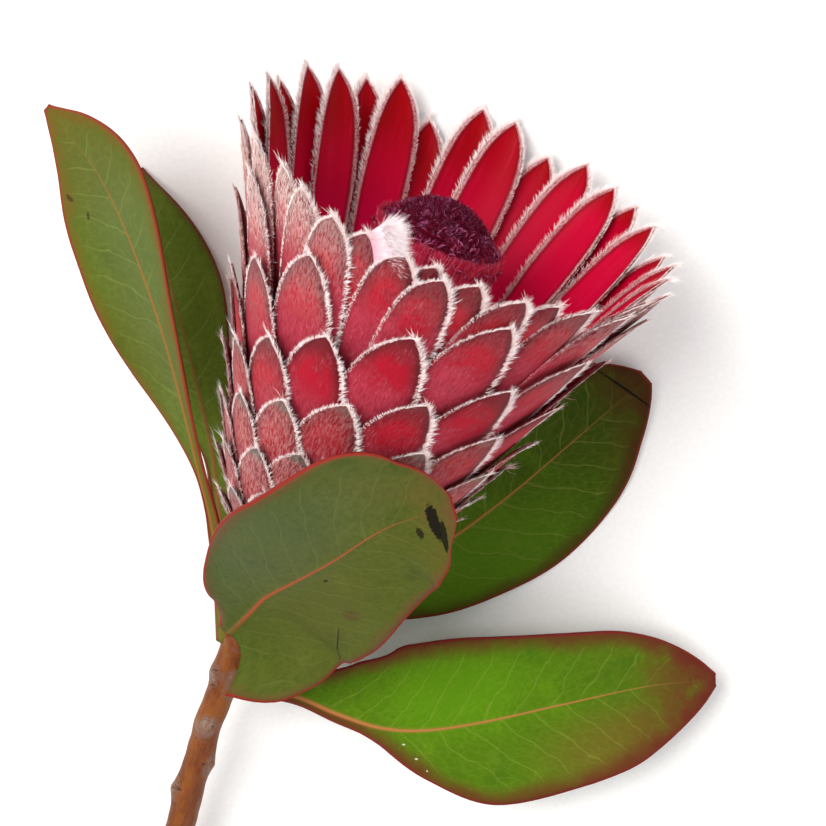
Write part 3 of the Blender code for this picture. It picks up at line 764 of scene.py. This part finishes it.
def make_leaf(name, spec, mat):
    """One leathery blade with its raised midrib.

    It keeps its place as millimetres across and along, its distance from the margin, and its share
    of the length.
    """
    columns, rows = 36, 90
    samples = smooth_route(spec["stations"], rows + 1)
    length = np.linalg.norm(np.diff(samples[:, :3], axis=0), axis=1).sum()
    bm, corners = grid(columns, rows)
    spans = 2.0 * corners[:columns + 1, 0] - 1.0
    spans = np.sign(spans) * np.abs(spans) ** 1.25
    points, halves = [], []
    for pick in range(rows + 1):
        row, widths = leaf_row(samples, pick, spec, spans)
        points.extend(row)
        halves.extend(widths)
    across = np.tile(spans, rows + 1) * np.array(halves)
    share = np.repeat(np.arange(rows + 1) / rows, columns + 1)
    set_points(bm, in_frame(points))
    set_values(bm, place=np.stack((across, share * length, 0.0 * share), axis=1),
               edge=np.minimum(np.array(halves) - np.abs(across), (1.0 - share) * length),
               share=share)
    leaf = to_object(name, bm, [mat])
    solid = leaf.modifiers.new("thickness", "SOLIDIFY")
    solid.thickness = LEAF_THICKNESS * MM
    solid.offset = 0.0
    return leaf


# Stem.

def make_stem(bark, wood):
    """The woody stem: a knobbly tube, cut on a slant at its free end."""
    columns, rows = 40, 420
    route = smooth_route(STEM_LINE, rows + 1)
    forward = unit(np.gradient(route[:, :3], axis=0))
    side = unit(np.cross(forward, (0.0, 0.0, 1.0)))
    up = np.cross(side, forward)
    bm, corners = grid(columns, rows)
    pick = np.rint(corners[:, 1] * rows).astype(int)
    turn = corners[:, 0] * 2.0 * math.pi
    outward = side[pick] * np.sin(turn)[:, None] + up[pick] * np.cos(turn)[:, None]
    surface = route[pick, :3] + outward * route[pick, 3][:, None]
    scar = np.zeros(len(surface))
    for centre, radius, stretch in STEM_KNOBS:
        offset = surface - np.array(centre)
        run = np.sum(offset * forward[pick], axis=1)
        flat = np.sqrt(np.maximum(np.sum(offset ** 2, axis=1) - run ** 2, 0.0))
        closeness = np.clip(1.0 - np.hypot(run / stretch, flat) / (radius * 1.5), 0.0, 1.0)
        scar = np.maximum(scar, closeness)
    ripple = np.array([noise.noise(Vector(p) * 0.25) for p in surface])
    surface = surface + outward * (0.28 * ripple + 1.5 * np.sqrt(scar) * scar)[:, None]
    set_points(bm, in_frame(surface))
    set_values(bm, scar=scar)
    bmesh.ops.remove_doubles(bm, verts=bm.verts, dist=1e-5)
    start = route[0, :3]
    heading = math.atan2(STEM_LINE[1][0] - start[0], STEM_LINE[1][1] - start[1])
    slant = math.radians(CUT_SLANT_DEG)
    flat = math.cos(slant)
    across = Vector((math.sin(heading) * flat, math.cos(heading) * flat, -math.sin(slant)))
    plane = Vector(in_frame(start + CUT_SHIFT))
    geometry = bm.verts[:] + bm.edges[:] + bm.faces[:]
    bmesh.ops.bisect_plane(bm, geom=geometry, plane_co=plane, plane_no=-across, clear_outer=True)
    rims = [edge for edge in bm.edges if edge.is_boundary]
    ends = bmesh.ops.holes_fill(bm, edges=rims)["faces"]
    for face in ends:
        face.material_index = 1
    bmesh.ops.recalc_face_normals(bm, faces=bm.faces)
    stem = to_object("stem_bark", bm, [bark, wood])
    stem.data.set_sharp_from_angle(angle=math.radians(50.0))
    return stem


# Materials. Patterns are scaled in cycles per millimetre, on each piece's own place attribute,
# or on Object coordinates where a thousand is one cycle per millimetre.

def silky_bract_skin():
    """Bract skin: leathery under short silk, so it is matt, softly clouded and finely streaked."""
    mat, tree = new_material("silky_bract_skin")
    place = add(tree, "Attribute", out="Vector", attribute_name="place")
    edge, old, felt = (add(tree, "Attribute", out="Fac", attribute_name=name)
                       for name in ("edge", "old", "felt"))
    below = add(tree, "SeparateXYZ", {0: place}, out=1)
    cloud, tufts, flecks = (
        add(tree, "TexNoise", {"Vector": place, "Scale": scale, "Detail": deep, "Roughness": rough})
        for scale, deep, rough in ((0.16, 4.0, 0.62), (0.9, 4.0, 0.75), (1.7, 2.0, 0.5)))
    # One hair is a tenth of a millimetre wide; the streaks are drawn four times as coarse, to show.
    silk = add(tree, "Mapping", {"Vector": place, "Scale": (2.4, 0.55, 1.0)})
    streaks = add(tree, "TexNoise", {"Vector": silk, "Scale": 1.0, "Detail": 3.0, "Roughness": 0.7,
                                     "Distortion": 0.7})
    ragged = add(tree, "Math", {0: tufts, 1: 7.0, 2: below}, operation="MULTIPLY_ADD")
    base = paint(
        tree, "901626",
        ("78101C", 1.0, (cloud, 0.36, 0.6)),
        ("BC4458", 0.62, (below, 9.0, 20.0), (streaks, 0.15, 0.65)),
        ("A60222", 0.85, (edge, 1.4, 4.4), (below, 4.0, 9.0), (below, 22.0, 12.0),
         (cloud, 0.4, 0.52)),
        # Painted shade: darker just inside the margins and towards the tip, where the fringe lies
        # over the skin.
        ("4A0812", 0.85, (edge, 2.4, 0.4), (below, 19.0, 6.0)),
        ("62101C", 0.75, (below, 10.0, 0.5)),
        ("C46A76", 0.36, (streaks, 0.54, 0.72), (cloud, 0.56, 0.4)),
        ("6E1620", 0.6, (old, 0.1, 0.8), (below, 22.0, 8.0)),
        ("C48A86", 0.75, (old, 0.0, 0.6), (streaks, 0.36, 0.66)),
        ("DCC0BA", 0.85, (felt, 0.0, 0.8), (below, 22.0, 4.0), (streaks, 0.34, 0.58)),
        ("6E655C", 0.9, (old, 0.0, 0.6), (ragged, 7.6, 5.2)),
        ("332C28", 0.85, (old, 0.1, 0.8), (ragged, 7.0, 5.2), (tufts, 0.44, 0.56)),
        ("A79B92", 0.6, (old, 0.1, 0.8), (ragged, 7.6, 5.4), (streaks, 0.52, 0.66)),
        ("5E1A1E", 0.7, (flecks, 0.68, 0.76), (cloud, 0.52, 0.62)))
    return finish(mat, base, {
        "Roughness": 0.58, "IOR": 1.42, "Specular IOR Level": 0.15, "Sheen Weight": 0.04,
        "Sheen Roughness": 0.45, "Sheen Tint": linear("F3C9C9")}, streaks, 0.35, 0.2)


def waxy_bract_face():
    """Inner face of a bract: smooth wax, so saturated, with a soft gloss and downy margins."""
    mat, tree = new_material("waxy_bract_face")
    place = add(tree, "Attribute", out="Vector", attribute_name="place")
    edge, right = (add(tree, "Attribute", out="Fac", attribute_name=name)
                   for name in ("edge", "right"))
    below = add(tree, "SeparateXYZ", {0: place}, out=1)
    fibres = add(tree, "Mapping", {"Vector": place, "Scale": (1.3, 0.1, 1.0)})
    streaks = add(tree, "TexNoise", {"Vector": fibres, "Scale": 1.0, "Detail": 3.0})
    down = add(tree, "TexNoise", {"Vector": place, "Scale": 2.8, "Detail": 3.0, "Roughness": 0.7})
    base = paint(
        tree, "94000A",
        ("B4002A", 1.0, (below, 8.0, 24.0)),
        ("D0004A", 1.0, (below, 22.0, 40.0)),
        # Painted light: inner faces of the bracts on the head's right, which face the key light,
        # are brighter and pinker below their tips.
        ("D0003A", 0.6, (right, -0.1, 0.8), (below, 2.0, 10.0)),
        ("CC1448", 0.3, (streaks, 0.5, 0.8)),
        ("6E0412", 0.7, (edge, 2.2, 0.8)),
        ("DDB2B4", 0.8, (edge, 1.1, 0.4), (down, 0.36, 0.58)))
    gloss = {"Roughness": 0.45, "IOR": 1.45, "Specular IOR Level": 0.06}
    return finish(mat, base, gloss, streaks, 0.12, 0.2)


def plant_wool(name, root, middle, tip, shade, amount):
    """Plant wool: dead hairs full of air, so pale and matt, tinted where they leave the skin."""
    mat, tree = new_material(name)
    uv = add(tree, "TexCoord", out="UV")
    own, along = (add(tree, "SeparateXYZ", {0: uv}, out=axis) for axis in (0, 1))
    base = add(tree, "ValToRGB", {0: along}, ramp=((0.0, root), (0.4, middle), (1.0, tip)))
    base = paint(tree, base, (shade, amount, (own, 0.3, 1.0)))
    return finish(mat, base, {"Roughness": 0.6, "IOR": 1.4, "Specular IOR Level": 0.3})


def floret_velvet(name, ramp, fleck, amount):
    """Velvety styles and felt: matt, dark maroon on the dome and rosy crimson down the side."""
    mat, tree = new_material(name)
    coords = add(tree, "TexCoord", out="Object")
    own = add(tree, "SeparateXYZ", {0: add(tree, "TexCoord", out="UV")})
    moved = add(tree, "VectorMath", {0: coords, 1: tuple(in_frame(HEAD_FOOT))},
                operation="SUBTRACT")
    height = add(tree, "VectorMath", {0: moved, 1: tuple(ALONG / MM)}, out=1,
                 operation="DOT_PRODUCT")
    mottle = add(tree, "TexNoise", {"Vector": coords, "Scale": 550.0, "Detail": 3.0,
                                    "Roughness": 0.6})
    drift = add(tree, "MapRange", {"Value": mottle, "To Min": -4.0, "To Max": 4.0})
    level = add(tree, "Math", {0: height, 1: drift}, operation="ADD")
    share = add(tree, "MapRange", {"Value": level, "From Min": 78.0, "From Max": 108.0})
    base = add(tree, "ValToRGB", {0: share}, ramp=ramp)
    base = paint(tree, base, (fleck, amount, (own, 0.7, 0.95)))
    return finish(mat, base, {
        "Roughness": 0.7, "IOR": 1.4, "Specular IOR Level": 0.12, "Sheen Weight": 0.06,
        "Sheen Roughness": 0.4, "Sheen Tint": linear("C06A96")})


def leathery_leaf_skin(name, tones, vein, vein_amount, rib, margin, blush, patches, spots):
    """Leathery leaf: a waxy skin, so softly glossy, with faint net veins and a horny red margin.

    Tones are its dark, middle and bright greens. Blush is a colour, the width in millimetres that
    it takes along the margin, its strength there, and its strength at the tip. Patches are soft
    ovals under the veins, and spots are sharp ones over them.
    """
    mat, tree = new_material(name)
    place = add(tree, "Attribute", out="Vector", attribute_name="place")
    edge, share = (add(tree, "Attribute", out="Fac", attribute_name=name)
                   for name in ("edge", "share"))
    across, along = (add(tree, "SeparateXYZ", {0: place}, out=axis) for axis in (0, 1))
    out = add(tree, "Math", {0: across}, operation="ABSOLUTE")
    cloud, fine, flecks, drift = (
        add(tree, "TexNoise", {"Vector": place, "Scale": scale, "Detail": deep, "Roughness": rough})
        for scale, deep, rough in ((0.055, 5.0, 0.6), (0.7, 4.0, 0.7), (1.3, 2.0, 0.6),
                                   (0.1, 2.0, 0.5)))
    dark, plain, bright = tones
    base = paint(
        tree, plain,
        (dark, 1.0, (cloud, 0.46, 0.3)),
        (bright, 1.0, (cloud, 0.5, 0.66), (edge, 1.0, 9.0)),
        (dark, 0.55, (fine, 0.4, 0.7)),
        ("2E3010", 0.5, (flecks, 0.68, 0.76), (cloud, 0.62, 0.44)))
    for patch in patches:
        base = oval(tree, base, place, fine, *patch, ragged=0.6)
    # Side veins leave the midrib about every 8 mm and run forward at some fifty degrees.
    wander = add(tree, "MapRange", {"Value": drift, "To Min": -3.0, "To Max": 3.0})
    slope = add(tree, "Math", {0: out, 1: -0.85, 2: along}, operation="MULTIPLY_ADD")
    swing = add(tree, "Math", {0: slope, 1: wander}, operation="ADD")
    offset = add(tree, "Math", {0: across, 1: 0.0}, operation="GREATER_THAN")
    phase = add(tree, "Math", {0: offset, 1: 4.3, 2: swing}, operation="MULTIPLY_ADD")
    near = add(tree, "Math", {0: phase, 1: 4.2}, operation="PINGPONG")
    bent = add(tree, "CombineXYZ", {0: across, 1: swing})
    cells = add(tree, "TexVoronoi", {"Vector": bent, "Scale": 0.36}, feature="DISTANCE_TO_EDGE")
    ragged = add(tree, "Math", {0: cloud, 1: -9.0, 2: edge}, operation="MULTIPLY_ADD")
    slim = add(tree, "Math", {0: share, 1: 0.3, 2: out}, operation="MULTIPLY_ADD")
    colour, width, strength, tip = blush
    base = paint(
        tree, base,
        (vein, vein_amount, (near, 0.42, 0.1), (edge, 1.5, 6.0), (fine, 0.2, 0.5)),
        (vein, 0.4 * vein_amount, (cells, 0.07, 0.01), (edge, 1.0, 5.0)),
        (colour, strength, (ragged, width - 4.0, -4.5)),
        (colour, tip, (share, 0.72, 1.0), (cloud, 0.3, 0.6)),
        (rib, 0.2, (out, 1.0, 0.4), (share, 0.8, 0.2)),
        (rib, 0.85, (slim, 0.5, 0.28), (share, 1.0, 0.7), (share, 0.0, 0.2)),
        (margin, 0.9, (edge, 0.75, 0.3)))
    for spot in spots:
        base = oval(tree, base, place, fine, *spot)
    rough = add(tree, "MapRange", {"Value": fine, "To Min": 0.48, "To Max": 0.64})
    relief = add(tree, "MapRange", {"Value": near, "From Min": 0.0, "From Max": 0.8, "To Min": 0.0,
                                    "To Max": 0.6})
    relief = add(tree, "Math", {0: fine, 1: 0.35, 2: relief}, operation="MULTIPLY_ADD")
    gloss = {"Roughness": rough, "IOR": 1.45, "Specular IOR Level": 0.07}
    return finish(mat, base, gloss, relief, 0.3, 0.25)


def oval(tree, base, place, fine, x, y, turn, wide, long, colour, amount, soft=0.12, ragged=1.6):
    """Paints one oval on a leaf: its middle across and along, its turn, half-sizes and colour.

    Soft is how gradual its outline is, and ragged how uneven, both in shares of its size.
    """
    local = add(tree, "Mapping", {"Vector": place, "Location": (x, y, 0.0),
                                  "Rotation": (0.0, 0.0, math.radians(turn)),
                                  "Scale": (wide, long, 1.0)}, vector_type="TEXTURE")
    reach = add(tree, "VectorMath", {0: local}, out=1, operation="LENGTH")
    reach = add(tree, "Math", {0: fine, 1: ragged, 2: reach}, operation="MULTIPLY_ADD")
    limit = 1.0 + 0.5 * ragged
    return paint(tree, base, (colour, amount, (reach, limit + soft, limit - soft)))


def young_bark():
    """Young bark: smooth and orange-brown, with grey cork patches, cracks and leaf scars."""
    mat, tree = new_material("young_bark")
    coords = add(tree, "TexCoord", out="Object")
    scar = add(tree, "Attribute", out="Fac", attribute_name="scar")
    turned = add(tree, "Mapping", {"Vector": coords, "Rotation": (0.0, 0.0, math.radians(14.0))})
    drawn = add(tree, "Mapping", {"Vector": turned, "Scale": (1000.0, 280.0, 1000.0)})
    cloud = add(tree, "TexNoise", {"Vector": drawn, "Scale": 0.22, "Detail": 4.0, "Roughness": 0.6})
    fibres = add(tree, "TexNoise", {"Vector": drawn, "Scale": 1.3, "Detail": 4.0, "Roughness": 0.7})
    grey = add(tree, "TexNoise", {"Vector": coords, "Scale": 210.0, "Detail": 5.0,
                                  "Roughness": 0.68, "Distortion": 0.6})
    worn = add(tree, "Math", {0: scar, 1: 0.55, 2: grey}, operation="MULTIPLY_ADD")
    crack = add(tree, "Mapping", {"Vector": turned, "Scale": (300.0, 1400.0, 1000.0)})
    cracks = add(tree, "TexNoise", {"Vector": crack, "Scale": 0.6, "Detail": 3.0,
                                    "Distortion": 0.8})
    base = paint(
        tree, "6A360E",
        ("7C4414", 1.0, (cloud, 0.36, 0.6)),
        ("5E2A1A", 0.75, (cloud, 0.62, 0.38), (fibres, 0.3, 0.7)),
        ("42200E", 0.6, (fibres, 0.52, 0.78)),
        ("6E5448", 0.75, (worn, 0.54, 0.74), (fibres, 0.15, 0.6)),
        ("887A72", 0.6, (worn, 0.7, 0.9), (fibres, 0.4, 0.65)),
        ("2A1A12", 0.85, (cracks, 0.6, 0.68), (scar, 0.08, 0.22)))
    return finish(mat, base, {"Roughness": 0.5, "Specular IOR Level": 0.2}, grey, 0.5, 0.4)


def cut_wood():
    """Fresh cut: pale moist wood with faint fibres."""
    mat, tree = new_material("cut_wood")
    coords = add(tree, "TexCoord", out="Object")
    fibres = add(tree, "TexNoise", {"Vector": coords, "Scale": 1800.0, "Detail": 3.0})
    base = paint(tree, "D2BF96", ("A88E62", 1.0, (fibres, 0.35, 0.65)))
    return finish(mat, base, {"Roughness": 0.7}, fibres, 0.3, 0.2)


def white_paper():
    """Matt white paper with a fine tooth."""
    mat, tree = new_material("white_paper")
    coords = add(tree, "TexCoord", out="Object")
    tooth = add(tree, "TexNoise", {"Vector": coords, "Scale": 900.0, "Detail": 2.0})
    base = paint(tree, "F7F6F5", ("F3F2F1", 1.0, (tooth, 0.3, 0.7)))
    return finish(mat, base, {"Roughness": 0.9}, tooth, 0.05, 0.1)


# Each patch and spot is a middle across and along, a turn, half-sizes, a colour and its strength;
# a patch also says how soft its outline is.
LEAF_FINISHES = {
    "leaf_front": dict(
        tones=("3A4616", "4A5419", "545C1E"), vein="70763C", vein_amount=0.16, rib="A2482E",
        margin="8A2622", blush=("6A3A2C", 3.0, 0.5, 0.3),
        patches=(
            # The first patch is a painted sheen: a grey-blue reflection of the light over the left
            # half of the blade.
            (-14.0, 46.0, 0.0, 15.0, 30.0, "525C54", 0.22, 0.6),
            (12.0, 40.0, 20.0, 14.0, 26.0, "545220", 0.4, 0.7),
            (16.2, 42.3, 0.0, 2.2, 2.2, "4A3A1A", 0.6, 0.5)),
        spots=(
            (2.6, 85.0, -4.0, 5.0, 1.3, "120E0C", 0.95),
            (6.8, 86.2, -9.0, 4.2, 1.0, "120E0C", 0.9),
            (4.4, 80.4, 0.0, 1.6, 0.9, "1C120E", 0.85),
            (3.9, 48.4, 0.0, 0.4, 0.9, "241C14", 0.8),
            (23.0, 28.0, 38.0, 0.22, 9.0, "1E1812", 0.8))),
    "leaf_lower_right": dict(
        tones=("3E5C08", "496A06", "547808"), vein="86963A", vein_amount=0.2, rib="A8683C",
        margin="722420", blush=("5C2218", 6.0, 0.85, 1.0),
        patches=(
            (-9.0, 61.0, 0.0, 11.0, 21.0, "508004", 0.7, 0.6),
            (15.0, 100.0, 0.0, 10.0, 18.0, "62541A", 0.8, 0.7)),
        spots=(
            (3.7, 46.9, 0.0, 0.2, 0.34, "D8D4C4", 0.7),
            (7.4, 49.8, 0.0, 0.2, 0.3, "D8D4C4", 0.7),
            (10.6, 52.0, 0.0, 0.25, 0.2, "D8D4C4", 0.7))),
    "leaf_right_back": dict(
        tones=("2C4004", "384C02", "426002"), vein="66702C", vein_amount=0.45, rib="9A6034",
        margin="70241A", blush=("42220E", 4.0, 0.7, 0.9),
        patches=(
            (10.0, 56.0, 0.0, 12.0, 26.0, "486C04", 0.8, 0.7),),
        spots=(
            (-1.8, 115.0, 14.0, 8.3, 0.35, "120C0A", 0.95),)),
    "leaf_left_front": dict(
        tones=("445212", "54621C", "626E2A"), vein="7A8640", vein_amount=0.28, rib="905C2C",
        margin="843424", blush=("6E4A1C", 3.0, 0.5, 0.3),
        patches=(
            (-3.0, 130.0, 0.0, 12.0, 20.0, "46540A", 0.75, 0.7),
            (-8.0, 82.0, 0.0, 10.0, 14.0, "505218", 0.5, 0.7),
            (2.0, 98.0, 0.0, 10.0, 34.0, "58643C", 0.6, 0.7)),
        spots=(
            (-9.5, 124.0, 10.0, 0.5, 1.4, "3A2A14", 0.8),
            (-7.5, 117.0, -20.0, 0.4, 1.0, "3A2A14", 0.8))),
    "leaf_left_back": dict(
        tones=("4A5C16", "5A6C1E", "64762A"), vein="7A8848", vein_amount=0.35, rib="80502E",
        margin="6A3026", blush=("483616", 2.5, 0.5, 0.3), patches=(), spots=()),
}


# Studio.

def make_camera():
    """The photograph's viewpoint, looking down on the stem."""
    tilt = math.radians(CAMERA_TILT_DEG)
    right = np.array((1.0, 0.0, 0.0))
    up = np.array((0.0, math.cos(tilt), -math.sin(tilt)))
    back = np.array((0.0, math.sin(tilt), math.cos(tilt)))
    data = bpy.data.cameras.new("camera")
    data.sensor_width = 36.0
    data.lens = CAMERA_LENS
    data.clip_end = 20.0
    camera = new_object("camera", data)
    turn = Matrix((right, up, back)).transposed().to_4x4()
    camera.matrix_world = Matrix.Translation(in_frame(CAMERA_AIM + back * CAMERA_DISTANCE)) @ turn
    bpy.context.scene.camera = camera


def make_light(name, place, size, energy, colour):
    """One soft panel of light that faces the bloom."""
    data = bpy.data.lights.new(name, "AREA")
    data.shape = "SQUARE"
    data.size = size
    data.energy = energy
    data.color = linear(colour)[:3]
    lamp = new_object(name, data)
    lamp.location = place
    lamp.rotation_euler = (LIGHT_AIM - Vector(place)).to_track_quat("-Z", "Y").to_euler()


def make_studio():
    """Pale floor, a big soft key from the upper left and an even surround."""
    bm = bmesh.new()
    bmesh.ops.create_grid(bm, x_segments=1, y_segments=1, size=4.0)
    floor = to_object("floor", bm, [white_paper()])
    for name, panel in LIGHTS.items():
        make_light(name, *panel)
    world = bpy.data.worlds.new("surround")
    bpy.context.scene.world = world
    world.use_nodes = True
    background = world.node_tree.nodes["Background"]
    background.inputs[0].default_value = linear("FFFFFF")
    background.inputs[1].default_value = SURROUND_STRENGTH
    bpy.context.scene.view_settings.view_transform = "Standard"


def main():
    """Builds the looks round the solids."""
    make_camera()
    make_studio()
    rules = bract_rules()
    place_piece(make_skins(rules, silky_bract_skin(), waxy_bract_face()), "bract", "bracts")
    white = plant_wool("margin_wool", "DEA8AA", "F9ECEA", "FFFFFF", "E6C4C2", 0.35)
    cream = plant_wool("rim_felt", "D8AEA8", "F0E0DA", "FCF6F2", "DCBAB4", 0.45)
    groups = (("foot", 0, SPREAD_FROM), ("middle", SPREAD_FROM, INNER_FROM),
              ("rim", INNER_FROM, BRACT_COUNT))
    for seed, (name, first, last) in enumerate(groups):
        place_piece(make_fringe("fringe_" + name, rules[first:last], white, 5 + seed), "bract")
    lining = dict(inset=0.13, lift=-0.6, spacing=0.1)
    place_piece(make_fringe("fringe_lining", rules[INNER_FROM:], white, 9, **lining), "bract")
    place_piece(make_down(rules, cream), "bract")
    lilac = plant_wool("plume_hair", "E2A6B6", "F6E0E6", "FFFDFD", "E6B6C6", 0.4)
    place_piece(make_plume(rules[PLUME_BRACT], lilac), "bract")
    velvet = floret_velvet("dome_velvet", DOME_RAMP, "A8608A", 0.7)
    place_piece(make_dome(velvet), "floret", "florets")
    place_piece(make_curls(velvet), "floret")
    place_piece(make_felt(velvet), "floret")
    place_piece(make_silk(floret_velvet("side_silk", SILK_RAMP, "EE9CB2", 0.6)), "floret")
    for name, spec in LEAVES.items():
        skin = leathery_leaf_skin(name + "_skin", **LEAF_FINISHES[name])
        place_piece(make_leaf(name + "_blade", spec, skin), "leaf", name)
    place_piece(make_stem(young_bark(), cut_wood()), "stem", "stem")


main()
